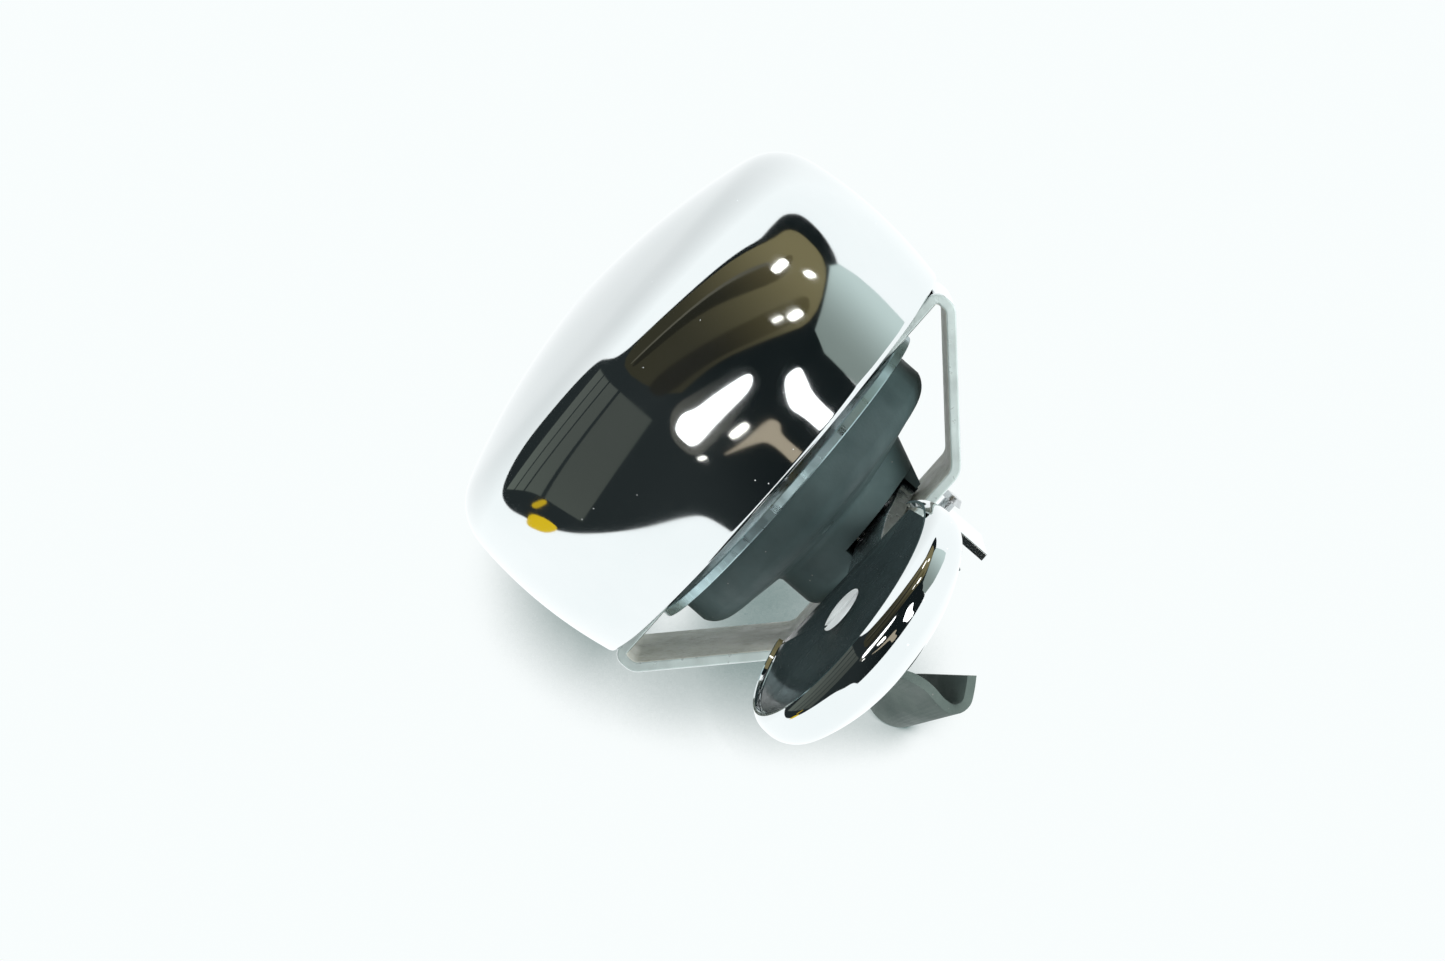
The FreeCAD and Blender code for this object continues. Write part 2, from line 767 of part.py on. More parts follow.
# --- hammer, clip, return spring and its pin -----------------------------------------------------
arm_low = d.hammer_arm_up
hammer_arm = cut(
    "hammer_arm_cut",
    fuse(
        "hammer_arm_blank",
        box(
            "hammer_bar",
            d.hammer_arm_wide,
            d.hammer_long - d.hammer_r + 0.5,
            d.hammer_arm_thick,
            x=d.hammer_arm_wide * -0.5,
            y=-d.hammer_long + d.hammer_r - 0.5,
            z=arm_low,
        ),
        cylinder("hammer_hub", d.shaft_r + 1.35, d.hammer_arm_thick + 0.9, z=arm_low - 0.5),
    ),
    cylinder("hammer_bore", d.shaft_r, 6.0, z=arm_low - 2),
    cylinder("hammer_end", d.hammer_r - 0.5, 10.0, y=-d.hammer_long, z=0),
)
place(hammer_arm, x=shaft_x, z=d.mouth_z, rotation=HAMMER_TURN)
node(hammer_arm, "hammer_arm")

head_body = new_body("hammer_body")
e = 0.8
head_sketch = outline(
    head_body,
    "hammer_profile",
    "XZ_Plane",
    [
        (0, 0),
        (d.hammer_r - e, 0),
        (d.hammer_r, e),
        (d.hammer_r, d.hammer_tall - e),
        (d.hammer_r - e, d.hammer_tall),
        (0, d.hammer_tall),
    ],
)
revolve(head_body, head_sketch)
groove_low = d.hammer_arm_up - d.hammer_up
head = cut(
    "hammer_head_cut",
    head_body,
    box(
        "hammer_slot",
        d.hammer_arm_wide,
        d.hammer_r * 2,
        d.hammer_arm_thick,
        x=d.hammer_arm_wide * -0.5,
        y=0.0,
        z=groove_low,
    ),
    cut(
        "hammer_slot_ring",
        box("hammer_slot_wide", 8.0, 3.0, d.hammer_arm_thick, x=-4.0, y=0.0, z=groove_low),
        cylinder("hammer_slot_core", d.hammer_r - 0.5, 9.0, z=groove_low - 4),
        box("hammer_slot_side_a", 8.0, 8.0, 8.0, x=d.hammer_arm_wide * 0.5, y=-2.0, z=groove_low - 4),
        box("hammer_slot_side_b", 8.0, 8.0, 8.0, x=d.hammer_arm_wide * -0.5 - 8, y=-2.0, z=groove_low - 4),
    ),
)
head_x = shaft_x + d.hammer_long * sine(d.hammer_turn)
head_y = -(d.hammer_long * cosine(d.hammer_turn))
place(head, x=head_x, y=head_y, z=d.mouth_z + d.hammer_up, rotation=HAMMER_TURN)
node(head, "hammer_head")

clip_low = d.mouth_z + arm_low + d.hammer_arm_thick + 0.45
clip = cut(
    "clip_cut",
    cylinder("clip_blank", d.shaft_r + 1.3, 0.6, x=shaft_x, z=clip_low),
    cylinder("clip_hole", d.shaft_r, 1.0, x=shaft_x, z=clip_low - 0.2),
    box("clip_gap", 4.0, 1.4, 1.0, x=shaft_x, y=-0.7, z=clip_low - 0.2),
)
node(clip, "shaft_clip")

helix = doc.addObject("Part::Helix", "spring_line")
bind(helix, "Pitch", d.spring_pitch)
bind(helix, "Height", d.spring_tall)
bind(helix, "Radius", d.spring_r)
ring = doc.addObject("Part::Circle", "spring_section")
bind(ring, "Radius", d.spring_wire)
ring.Placement = FreeCAD.Placement(
    FreeCAD.Vector(d.spring_r.number, 0, 0), FreeCAD.Rotation(FreeCAD.Vector(1, 0, 0), 90)
)
ring.setExpression("Placement.Base.x", d.spring_r.text)
doc.recompute()
spring = doc.addObject("Part::Sweep", "spring_coil")
spring.Sections = [ring]
spring.Spine = (helix, ["Edge%d" % (i + 1) for i in range(len(helix.Shape.Edges))])
spring.Solid = True
spring.Frenet = True
place(spring, x=shaft_x, z=base_top + 1.05)
node(spring, "return_spring")
pin_obj = cylinder("anchor_pin", 0.8, 4.6, x=shaft_x + 6.5, y=4.0, z=base_low)
node(pin_obj, "spring_pin")

# --- rubber strap: riveted to the left cheek, hangs down and curls into a short lip -------------
# Its two long edges, front and back, as (x, y, height below the mouth).
FRONT_EDGE = [
    (-10.0, -7.2, 18.0),
    (-10.0, -7.2, 22.0),
    (-9.9, -7.2, 25.4),
    (-8.0, -6.8, 28.0),
    (-7.4, -6.4, 31.0),
    (-7.7, -6.3, 33.8),
    (-7.3, -6.3, 35.4),
    (-5.9, -6.3, 35.9),
    (-4.4, -6.3, 35.2),
    (-2.9, -6.3, 34.2),
]
BACK_EDGE = [
    (-10.0, 7.2, 18.0),
    (-10.0, 7.2, 22.0),
    (-11.4, 7.0, 25.4),
    (-14.6, 6.6, 28.4),
    (-15.5, 6.3, 30.8),
    (-15.2, 6.3, 32.8),
    (-14.0, 6.3, 34.2),
    (-12.3, 6.3, 34.0),
    (-10.5, 6.3, 32.7),
    (-8.6, 6.3, 31.2),
]
mouth = d.mouth_z.number
width_scale = d.rubber_half.number / 7.2
front = [FreeCAD.Vector(x, y * width_scale, mouth - down) for x, y, down in FRONT_EDGE]
back = [FreeCAD.Vector(x, y * width_scale, mouth - down) for x, y, down in BACK_EDGE]


def smooth(points, steps=4):
    """More points along a line, on a curve through the given ones."""
    result = []
    for i in range(len(points) - 1):
        before = points[max(i - 1, 0)]
        start, end = points[i], points[i + 1]
        after = points[min(i + 2, len(points) - 1)]
        for step in range(steps):
            u = step / steps
            way = end - start
            curve = (before - start * 2.5 + end * 2.0 - after * 0.5) * (u * u)
            cubic = (start * 1.5 - end * 1.5 + after * 0.5 - before * 0.5) * (u * u * u)
            slope_here = (end - before) * (0.5 * u)
            result.append(start + slope_here + curve + cubic if i else start + way * u)
    return result + [points[-1]]


front = smooth(front)
back = smooth(back)
sections = []
last = len(front) - 1
for i in range(len(front)):
    ahead = (front[min(i + 1, last)] + back[min(i + 1, last)]) - (front[max(i - 1, 0)] + back[max(i - 1, 0)])
    across = back[i] - front[i]
    out = ahead.cross(across)
    out.normalize()
    out = out * (d.rubber_thick.number / 2)
    loop = [front[i] + out, back[i] + out, back[i] - out, front[i] - out]
    sections.append(Part.makePolygon(loop + loop[:1]))
strap_blank = doc.addObject("Part::Feature", "strap_blank")
strap_blank.Shape = Part.makeLoft(sections, True, True)
strap = cut(
    "strap_cut",
    strap_blank,
    cylinder("strap_hole", 1.0, 6.0, x=-d.saddle_half - 4.0, z=rivet_z, rotation=ALONG_X),
)
node(strap, "rubber_strap")
strap_rivet = fuse(
    "strap_rivet_solid",
    cylinder("strap_rivet_shank", 1.0, 3.3, x=-d.saddle_half - 1.6, z=rivet_z, rotation=ALONG_X),
    cone("strap_rivet_head", 1.2, 2.0, 0.7, x=-d.saddle_half - 2.05, z=rivet_z, rotation=ALONG_X),
    cylinder("strap_rivet_tail", 1.6, 0.6, x=-d.saddle_half + d.saddle_thick, z=rivet_z, rotation=ALONG_X),
)
node(strap_rivet, "strap_rivet")

# --- write --------------------------------------------------------------------------------------
doc.recompute()
for obj in doc.Objects:
    if "Invalid" in obj.State or "Error" in obj.State:
        raise RuntimeError("%s: %s" % (obj.Name, obj.State))
os.makedirs("parts", exist_ok=True)
for obj in NODES:
    if obj.Shape.isNull() or not obj.Shape.isValid() or not obj.Shape.Solids:
        raise RuntimeError("%s has no valid shape" % obj.Label)
    obj.Shape.exportStep("parts/%s.step" % obj.Label)
    print("%-16s %d solid(s) %9.2f mm3" % (obj.Label, len(obj.Shape.Solids), obj.Shape.Volume))
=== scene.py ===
import math

import bmesh
import bpy
from mathutils import Matrix, Vector


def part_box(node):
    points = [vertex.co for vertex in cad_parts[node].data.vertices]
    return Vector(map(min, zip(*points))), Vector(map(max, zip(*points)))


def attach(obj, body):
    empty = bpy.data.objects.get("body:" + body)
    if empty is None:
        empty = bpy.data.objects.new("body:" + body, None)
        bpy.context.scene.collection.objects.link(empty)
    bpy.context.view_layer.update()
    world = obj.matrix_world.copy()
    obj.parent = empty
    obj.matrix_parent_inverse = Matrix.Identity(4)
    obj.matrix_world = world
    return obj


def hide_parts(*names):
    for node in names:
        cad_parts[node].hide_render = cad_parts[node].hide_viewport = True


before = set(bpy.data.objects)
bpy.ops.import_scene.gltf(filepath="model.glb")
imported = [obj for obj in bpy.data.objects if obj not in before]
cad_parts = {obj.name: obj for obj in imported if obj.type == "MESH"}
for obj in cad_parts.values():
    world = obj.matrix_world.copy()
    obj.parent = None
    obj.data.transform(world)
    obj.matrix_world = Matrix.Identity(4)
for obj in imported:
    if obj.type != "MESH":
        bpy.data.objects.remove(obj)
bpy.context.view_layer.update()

MM = 0.001
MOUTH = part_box("gong")[0].z

# ---- Place, light and camera ---------------------------------------------------------------------
# The bell lies on a pale sheet, on the back of its gong and on its rubber strap. A white room and a
# soft light from the right light it. The dark end of the room is a set of cards that only mirrors show.
CAMERA_FROM_MOUTH = Vector((45.15, -396.26, 30.69)) * MM
CAMERA_RIGHT = Vector((0.65551, 0.0314, -0.7545))
CAMERA_UP = Vector((0.74445, 0.14078, 0.65264))
CAMERA_LENS = 83.0
TABLE_UP = Vector((0.522, -0.737, 0.429))
TABLE_RADIUS = 1.5
CONTACT_SHADE_REACH = 0.020
SIDE_LIGHT_FROM = Vector((0.75, -0.53, -0.39))
SIDE_LIGHT_POWER = 2.1
SIDE_LIGHT_SPREAD = math.radians(40)
DULL_WAY = (0.05, 0.62, 0.78)
CARD_DISTANCE = 0.60
CARD_EDGE = 0.10

camera = bpy.data.objects.new("camera", bpy.data.cameras.new("camera"))
bpy.context.scene.collection.objects.link(camera)
camera.data.lens = CAMERA_LENS
camera.data.sensor_width = 36.0
camera.data.clip_start = 0.01
turn = Matrix((CAMERA_RIGHT, CAMERA_UP, CAMERA_RIGHT.cross(CAMERA_UP))).transposed()
camera.matrix_world = Matrix.Translation(CAMERA_FROM_MOUTH + Vector((0, 0, MOUTH))) @ turn.to_4x4()
bpy.context.scene.camera = camera
bpy.context.scene.view_settings.view_transform = "Standard"


def node(tree, kind, inputs=None, **settings):
    """A shader or geometry node with its settings, and its inputs joined or set by name."""
    made = tree.nodes.new(kind)
    for key, value in settings.items():
        setattr(made, key, value)
    for key, value in (inputs or {}).items():
        if isinstance(value, bpy.types.NodeSocket):
            tree.links.new(value, made.inputs[key])
        else:
            made.inputs[key].default_value = value
    return made


def glow(name, strength):
    """A surface that shines by itself in the colours of its own corners."""
    paint = bpy.data.materials.new(name)
    paint.use_nodes = True
    tree = paint.node_tree
    tree.nodes.clear()
    shade = node(tree, "ShaderNodeAttribute", attribute_name="shade")
    colour = shade.outputs["Color"]
    light = node(tree, "ShaderNodeEmission", {"Color": colour, "Strength": strength})
    node(tree, "ShaderNodeOutputMaterial", {"Surface": light.outputs[0]})
    return paint


def piece(name, mesh, *paints):
    made = bpy.data.objects.new(name, mesh)
    bpy.context.scene.collection.objects.link(made)
    for paint in paints:
        mesh.materials.append(paint)
    return made


world = bpy.data.worlds.new("white_room")
world.use_nodes = True
tree = world.node_tree
tree.nodes["Background"].inputs["Color"].default_value = (0.965, 0.995, 1.0, 1)
way = node(tree, "ShaderNodeTexCoord").outputs["Generated"]
behind = node(tree, "ShaderNodeVectorMath", {0: way, 1: DULL_WAY}, operation="DOT_PRODUCT")
duller = node(
    tree,
    "ShaderNodeMapRange",
    {
        "Value": behind.outputs["Value"],
        "From Min": 0.55,
        "From Max": 0.98,
        "To Min": 1.14,
        "To Max": 0.86,
    },
)
tree.links.new(duller.outputs[0], tree.nodes["Background"].inputs["Strength"])
bpy.context.scene.world = world

side_light = bpy.data.objects.new("side_light", bpy.data.lights.new("side_light", "SUN"))
side_light.data.energy = SIDE_LIGHT_POWER
side_light.data.angle = SIDE_LIGHT_SPREAD
side_light.rotation_euler = SIDE_LIGHT_FROM.to_track_quat("Z", "Y").to_euler()
side_light.visible_glossy = False
bpy.context.scene.collection.objects.link(side_light)

table_up = TABLE_UP.normalized()
lowest = min(table_up.dot(v.co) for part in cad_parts.values() for v in part.data.vertices)
table_mesh = bpy.data.meshes.new("table")
shape = bmesh.new()
bmesh.ops.create_circle(shape, cap_ends=True, segments=96, radius=TABLE_RADIUS)
shape.transform(table_up.to_track_quat("Z", "X").to_matrix().to_4x4())
bmesh.ops.translate(shape, verts=shape.verts, vec=table_up * lowest)
shape.to_mesh(table_mesh)
shape.free()
# The pale sheet glows evenly by itself and takes no light. Its contact shadow is painted shade: where
# ambient occlusion within CONTACT_SHADE_REACH finds the bell close, the glow runs down to a dark
# painted-shadow colour.
table_paint = bpy.data.materials.new("pale_table")
table_paint.use_nodes = True
tree = table_paint.node_tree
tree.nodes.clear()
open_sky = node(tree, "ShaderNodeAmbientOcclusion", {"Distance": CONTACT_SHADE_REACH}, samples=24)
unshaded_share = node(
    tree, "ShaderNodeMapRange", {"Value": open_sky.outputs["AO"], "From Min": 0.32, "From Max": 0.68}
)
# Painted contact shadow: the sheet's colour runs from the dark painted-shadow tone to pale as the occlusion
# clears.
painted_shadow_sheet = node(
    tree,
    "ShaderNodeMix",
    {0: unshaded_share.outputs[0], 6: (0.12, 0.20, 0.19, 1), 7: (0.945, 0.985, 0.985, 1)},
    data_type="RGBA",
)
shine = node(tree, "ShaderNodeEmission", {"Color": painted_shadow_sheet.outputs[2], "Strength": 1.0})
front = node(tree, "ShaderNodeNewGeometry")
see_through = node(tree, "ShaderNodeBsdfTransparent")
both = node(
    tree,
    "ShaderNodeMixShader",
    {0: front.outputs["Backfacing"], 1: shine.outputs[0], 2: see_through.outputs[0]},
)
node(tree, "ShaderNodeOutputMaterial", {"Surface": both.outputs[0]})
table = piece("table", table_mesh, table_paint)
table.visible_glossy = False


def on_chart(azimuth, rise):
    """A direction round the bell, laid flat: azimuth 0 is in front, positive to the right."""
    a, e = math.radians(azimuth), math.radians(rise)
    x, y, z = math.sin(a) * math.cos(e), math.cos(a) * math.cos(e), math.sin(e)
    return Vector((x / (1 + y), z / (1 + y)))


def rounded(corners, passes, share=0.22):
    """The same outline with its corners cut off again and again, so that it bends softly."""
    for _ in range(passes):
        pairs = list(zip(corners, corners[1:] + corners[:1]))
        corners = [p for a, b in pairs for p in (a.lerp(b, share), b.lerp(a, share))]
    return corners


def card(name, corners, colour, strength=1.0, nearer=0.0, fade=None, soft=2):
    """A card on a sphere round the bell that only mirrors show. Corners are points on the chart.
    fade is a start, an end and the colour that the card has changed to at that end."""
    corners = rounded(corners, soft)
    shape = bmesh.new()
    face = shape.faces.new([shape.verts.new((p.x, p.y, 0)) for p in corners])
    bmesh.ops.triangulate(shape, faces=[face])
    for _ in range(4):
        long_edges = [e for e in shape.edges if e.calc_length() > CARD_EDGE]
        bmesh.ops.subdivide_edges(shape, edges=long_edges, cuts=1)
        bmesh.ops.triangulate(shape, faces=shape.faces[:])
    shades = []
    for v in shape.verts:
        t = 0.0
        if fade:
            start, end = on_chart(*fade[0]), on_chart(*fade[1])
            t = min(max((v.co.xy - start).dot(end - start) / (end - start).length_squared, 0), 1)
            t = t * t * (3 - 2 * t)
        last = fade[2] if fade else colour
        shades.append((*[a + (b - a) * t for a, b in zip(colour, last)], 1))
        flat = v.co.x**2 + v.co.y**2
        out = Vector((2 * v.co.x, -(1 - flat), 2 * v.co.y)) / (1 + flat)
        v.co = Vector((0, 0, MOUTH)) + out * (CARD_DISTANCE - nearer)
    mesh = bpy.data.meshes.new(name)
    shape.to_mesh(mesh)
    shape.free()
    shade = mesh.attributes.new("shade", "FLOAT_COLOR", "POINT")
    for i, value in enumerate(shades):
        shade.data[i].color = value
    made = piece(name, mesh, glow(name, strength))
    for ray in ("camera", "diffuse", "shadow", "transmission", "volume_scatter"):
        setattr(made, "visible_" + ray, False)


def chart(*corners):
    return [on_chart(a, r) for a, r in corners]


# The dark end of the room, with what stands in it: three slats, a wood panel and its shelves,
# lamps, a stand and a grey board.
DARK_ROOM = chart(
    (-101, 14), (-110, 30), (-113, 52), (-104, 72), (-60, 80), (-12, 63), (-6, 58), (4, 52), (43, 35),
    (70, 20), (81, 14), (90, 13), (102, 11), (109, 7), (106, 2), (98, -3), (80, -6), (64, -9), (59, -15),
    (61, -30), (-31, -31), (-30, -24), (-31, -17), (-39, -13), (-53, -8), (-66, -3), (-80, 2), (-92, 7),
)
darker_below = ((-20, 0), (10, -22), (0.008, 0.012, 0.013))
card("dark_room", DARK_ROOM, (0.020, 0.026, 0.027), fade=darker_below, soft=3)
slat_corners = chart((-104, 30), (-30, 69), (-13, 5), (-70, 1))
for number, (top, low) in enumerate([(0.03, 0.27), (0.30, 0.50), (0.53, 0.74), (0.77, 0.97)]):
    left = [slat_corners[0].lerp(slat_corners[3], t) for t in (top, low)]
    right = [slat_corners[1].lerp(slat_corners[2], t) for t in (top, low)]
    pale = 0.125 - 0.012 * number
    fade = ((-104, 20), (-30, 20), (pale * 0.75, pale * 0.85, pale * 0.76))
    corners = [left[0], right[0], right[1], left[1]]
    card("slat_%d" % number, corners, (pale, pale * 1.15, pale), 1.0, 0.01, fade, 0)
BROWN, PALE_BROWN = (0.040, 0.038, 0.024), (0.215, 0.185, 0.095)
brown = chart((-5, 54), (43, 32), (79, 12), (99, 8), (95, -1), (66, -7), (44, -1), (22, 5), (-6, 7))
card("wood_panel", brown, BROWN, 1.0, 0.01, ((20, 25), (88, 3), PALE_BROWN))
shelf_top = chart((-2, 33), (43, 18), (74, 8), (84, 6), (84, 5), (72, 4), (43, 13), (-2, 27))
card("wood_shelf", shelf_top, (0.020, 0.020, 0.014), 1.0, 0.02, ((40, 15), (85, 5), (0.12, 0.10, 0.05)))
shelf_edge = chart((-2, 35), (43, 19.5), (74, 9), (74, 8), (43, 18), (-2, 33))
card("wood_edge", shelf_edge, (0.11, 0.105, 0.08), 1.0, 0.02)
shelf_low = chart((-4, 15), (30, 9), (62, 1), (74, -2), (66, -5), (44, 0), (22, 6), (-5, 9))
card("wood_foot", shelf_low, (0.018, 0.018, 0.014), 1.0, 0.02, ((20, 8), (70, -2), (0.10, 0.085, 0.04)))
WHITE = (1.0, 1.0, 1.0)
HALO = (0.10, 0.10, 0.088)
halo = chart((-14, 1), (-4, 6), (12, 3), (32, -1), (30, -7), (5, -8), (-14, -7))
card("lamp_long_halo", halo, HALO, 1.0, 0.025, ((-8, -4), (24, 3), (0.022, 0.026, 0.026)))
lamp_long = chart((-11, 0), (-9, 2), (-3, 3), (3, 1), (12, 0), (30, -3), (25, -6), (5, -5), (-11, -5))
card("lamp_long", lamp_long, WHITE, 3.0, 0.03)
lamp_tall = chart((31, -20), (29, -16), (37, -10), (46, -11), (44, -14), (41, -18), (43, -29), (33, -29))
card("lamp_tall", lamp_tall, WHITE, 3.0, 0.03)
stand = chart(
    (-7, -11), (4, -13), (20, -14), (22, -17), (18, -19), (20, -29), (12, -29), (13, -18), (6, -15)
)
card("pale_stand", stand, (0.42, 0.36, 0.27), 1.0, 0.03)
board = chart((58, -9), (78, -5), (97, -1), (102, -8), (107, -20), (61, -27))
card("grey_board", board, (0.24, 0.29, 0.27), 1.0, 0.03, ((62, -12), (100, -8), (0.62, 0.74, 0.72)), 1)
small_lamps = [
    (71, 8, 80, 5), (80, 2, 84, -1), (52, 1, 57, -1),
    (58, -1, 65, -4), (-13, -7, -10, -9), (3, -9, 12, -12),
]
for number, (a1, r1, a2, r2) in enumerate(small_lamps):
    corners = chart((a1, r1), (a2, r1 - 1), (a2, r2), (a1, r2 + 1))
    card("lamp_%d" % number, corners, (1, 0.97, 0.9), 3.0, 0.04, soft=1)
card("yellow_tags", chart((-98, 8), (-90, 10), (-84, 7), (-83, 4), (-92, 5)), (0.80, 0.55, 0.02), 1.0, 0.04)
card("yellow_tag_b", chart((-86, 12), (-77, 11), (-77, 9.5), (-86, 10)), (0.60, 0.40, 0.02), 1.0, 0.04)

# ---- Gong ----------------------------------------------------------------------------------------
# A drawn steel cup, polished and mirror-chromed inside and out, with its lip lightly rounded.
# It hangs from the threaded boss under its crown.
GONG_WALL = 0.8
ROUND_STEPS = 320


def bow(start, through, end, steps):
    """Points on the arc from start through a middle point to end."""
    (ax, ay), (bx, by), (cx, cy) = start, through, end
    double = 2 * (ax * (by - cy) + bx * (cy - ay) + cx * (ay - by))
    a2, b2, c2 = ax * ax + ay * ay, bx * bx + by * by, cx * cx + cy * cy
    ux = (a2 * (by - cy) + b2 * (cy - ay) + c2 * (ay - by)) / double
    uy = (a2 * (cx - bx) + b2 * (ax - cx) + c2 * (bx - ax)) / double
    radius = math.hypot(ax - ux, ay - uy)
    first = math.atan2(ay - uy, ax - ux)
    sweep = (math.atan2(cy - uy, cx - ux) - first + math.pi) % (2 * math.pi) - math.pi
    angles = [first + sweep * i / steps for i in range(steps + 1)]
    return [(ux + radius * math.cos(a), uy + radius * math.sin(a)) for a in angles]


def inset(line, wall):
    """The same line moved inwards by the wall's thickness."""
    moved = []
    for i, (r, z) in enumerate(line):
        (r0, z0), (r1, z1) = line[max(i - 1, 0)], line[min(i + 1, len(line) - 1)]
        length = math.hypot(r1 - r0, z1 - z0)
        moved.append((r - wall * (z1 - z0) / length, z + wall * (r1 - r0) / length))
    return moved


def lathe(name, profile, steps=ROUND_STEPS):
    """A closed shell turned about Z from a profile that starts and ends on the axis, in millimetres."""
    shape = bmesh.new()
    rings = []
    for r, z in profile:
        if r < 1e-6:
            rings.append([shape.verts.new((0, 0, z * MM))])
            continue
        angles = [2 * math.pi * i / steps for i in range(steps)]
        spots = [(r * math.cos(a), r * math.sin(a)) for a in angles]
        rings.append([shape.verts.new((x * MM, y * MM, z * MM)) for x, y in spots])
    for low, high in zip(rings, rings[1:]):
        for i in range(steps):
            j = (i + 1) % steps
            corners = [low[i % len(low)], low[j % len(low)], high[j % len(high)], high[i % len(high)]]
            shape.faces.new(list(dict.fromkeys(corners)))
    bmesh.ops.recalc_face_normals(shape, faces=shape.faces)
    for face in shape.faces:
        face.smooth = True
    mesh = bpy.data.meshes.new(name)
    shape.to_mesh(mesh)
    shape.free()
    return mesh


def finish_of(name, colour, metallic, roughness, **more):
    """A surface material: returns it with its node tree, main shader and object coordinates."""
    paint = bpy.data.materials.new(name)
    paint.use_nodes = True
    tree = paint.node_tree
    shader = tree.nodes["Principled BSDF"]
    shader.inputs["Base Color"].default_value = (*colour, 1)
    shader.inputs["Metallic"].default_value = metallic
    shader.inputs["Roughness"].default_value = roughness
    for key, value in more.items():
        shader.inputs[key.replace("_", " ")].default_value = value
    return paint, tree, shader, node(tree, "ShaderNodeTexCoord").outputs["Object"]


def cloud(tree, place, scale, low, high, detail=4.0, stretch=None):
    """Soft noise running from low to high."""
    if stretch:
        facts = {"Vector": place, "Scale": stretch[:3], "Rotation": stretch[3:] or (0, 0, 0)}
        place = node(tree, "ShaderNodeMapping", facts).outputs[0]
    noise = node(tree, "ShaderNodeTexNoise", {"Vector": place, "Scale": scale, "Detail": detail})
    facts = {"Value": noise.outputs[0], "From Min": 0.3, "From Max": 0.7, "To Min": low, "To Max": high}
    return node(tree, "ShaderNodeMapRange", facts).outputs[0]


def specks(tree, place, scale, size, share):
    """Small dots scattered over the surface, 1 on a dot and 0 elsewhere."""
    cells = node(tree, "ShaderNodeTexVoronoi", {"Vector": place, "Scale": scale})
    dot = node(tree, "ShaderNodeMath", {0: cells.outputs["Distance"], 1: size}, operation="LESS_THAN")
    pick = node(tree, "ShaderNodeSeparateColor", {0: cells.outputs["Color"]})
    some = node(tree, "ShaderNodeMath", {0: pick.outputs[0], 1: share}, operation="LESS_THAN")
    shown = node(tree, "ShaderNodeMath", {0: dot.outputs[0], 1: some.outputs[0]}, operation="MULTIPLY")
    return shown.outputs[0]


def tint(tree, share, low, high):
    """A colour that runs from low to high as share goes from 0 to 1."""
    ends = [(*c, 1) if not isinstance(c, bpy.types.NodeSocket) else c for c in (low, high)]
    return node(tree, "ShaderNodeMix", {0: share, 6: ends[0], 7: ends[1]}, data_type="RGBA").outputs[2]


def emboss(tree, shader, height, strength, distance=0.05 * MM):
    lift = node(tree, "ShaderNodeBump", {"Height": height, "Strength": strength, "Distance": distance})
    tree.links.new(lift.outputs[0], shader.inputs["Normal"])


def join(tree, value, shader, socket):
    tree.links.new(value, shader.inputs[socket])


def chrome(name, dust, haze):
    paint, tree, shader, place = finish_of(name, (0.80, 0.83, 0.835), 1.0, 0.03)
    dots = specks(tree, place, 420, 0.07, dust)
    fine = specks(tree, place, 1500, 0.10, dust * 2.0)
    both = node(tree, "ShaderNodeMath", {0: dots, 1: fine}, operation="MAXIMUM").outputs[0]
    film = cloud(tree, place, 70, 0.0, 1.0)
    join(tree, tint(tree, film, (0.78, 0.815, 0.82), (0.82, 0.845, 0.85)), shader, "Base Color")
    smear = cloud(tree, place, 45, 0.5 * haze, haze, 6.0, (1, 1, 5))
    rough = node(tree, "ShaderNodeMix", {0: both, 2: smear, 3: 0.55})
    join(tree, rough.outputs[0], shader, "Roughness")
    matt = node(tree, "ShaderNodeMath", {0: 1.0, 1: both}, operation="SUBTRACT")
    join(tree, matt.outputs[0], shader, "Metallic")
    return paint


gong_chrome = chrome("gong_chrome", 0.012, 0.075)
gong_side = bow((29.7, 0.0), (30.9, 12.5), (30.2, 20.2), 60)
gong_turn = bow((30.2, 20.2), (28.6, 23.9), (24.2, 26.5), 40)
gong_crown = bow((24.2, 26.5), (12.4, 29.3), (0.6, 30.4), 40)


def eased(line, passes):
    """Evens out the small corners where arcs meet, so that a mirror finish shows no seam."""
    for _ in range(passes):
        middle = [
            tuple((a[k] + 2 * b[k] + c[k]) / 4 for k in (0, 1)) for a, b, c in zip(line, line[1:], line[2:])
        ]
        line = [line[0], *middle, line[-1]]
    return line


gong_outer = eased(gong_side + gong_turn[1:] + gong_crown[1:], 60)
gong_inner = inset(gong_outer, GONG_WALL)
lip = [(gong_inner[0][0] + 0.25, 0.0), (gong_outer[0][0] - 0.25, 0.0), (gong_outer[0][0] - 0.08, 0.04)]
gong_outer[0] = (gong_outer[0][0], 0.2)
gong_inner[0] = (gong_inner[0][0], 0.2)
profile = [(0, gong_inner[-1][1])] + gong_inner[::-1] + lip + gong_outer + [(0, gong_outer[-1][1])]
gong_mesh = lathe("gong_polished", profile)
gong_mesh.transform(Matrix.Translation((0, 0, MOUTH)))
gong = piece("gong_polished", gong_mesh, gong_chrome)
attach(gong, "bell")
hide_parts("gong")

# ---- Boss, washer, sleeve, post, lock washer and nut -----------------------------------------------
# The stack on the centre post: a plated boss carries the gong, a red fibre washer and a brass sleeve
# stand under it, and a lock washer and a nut hold the post in the saddle.


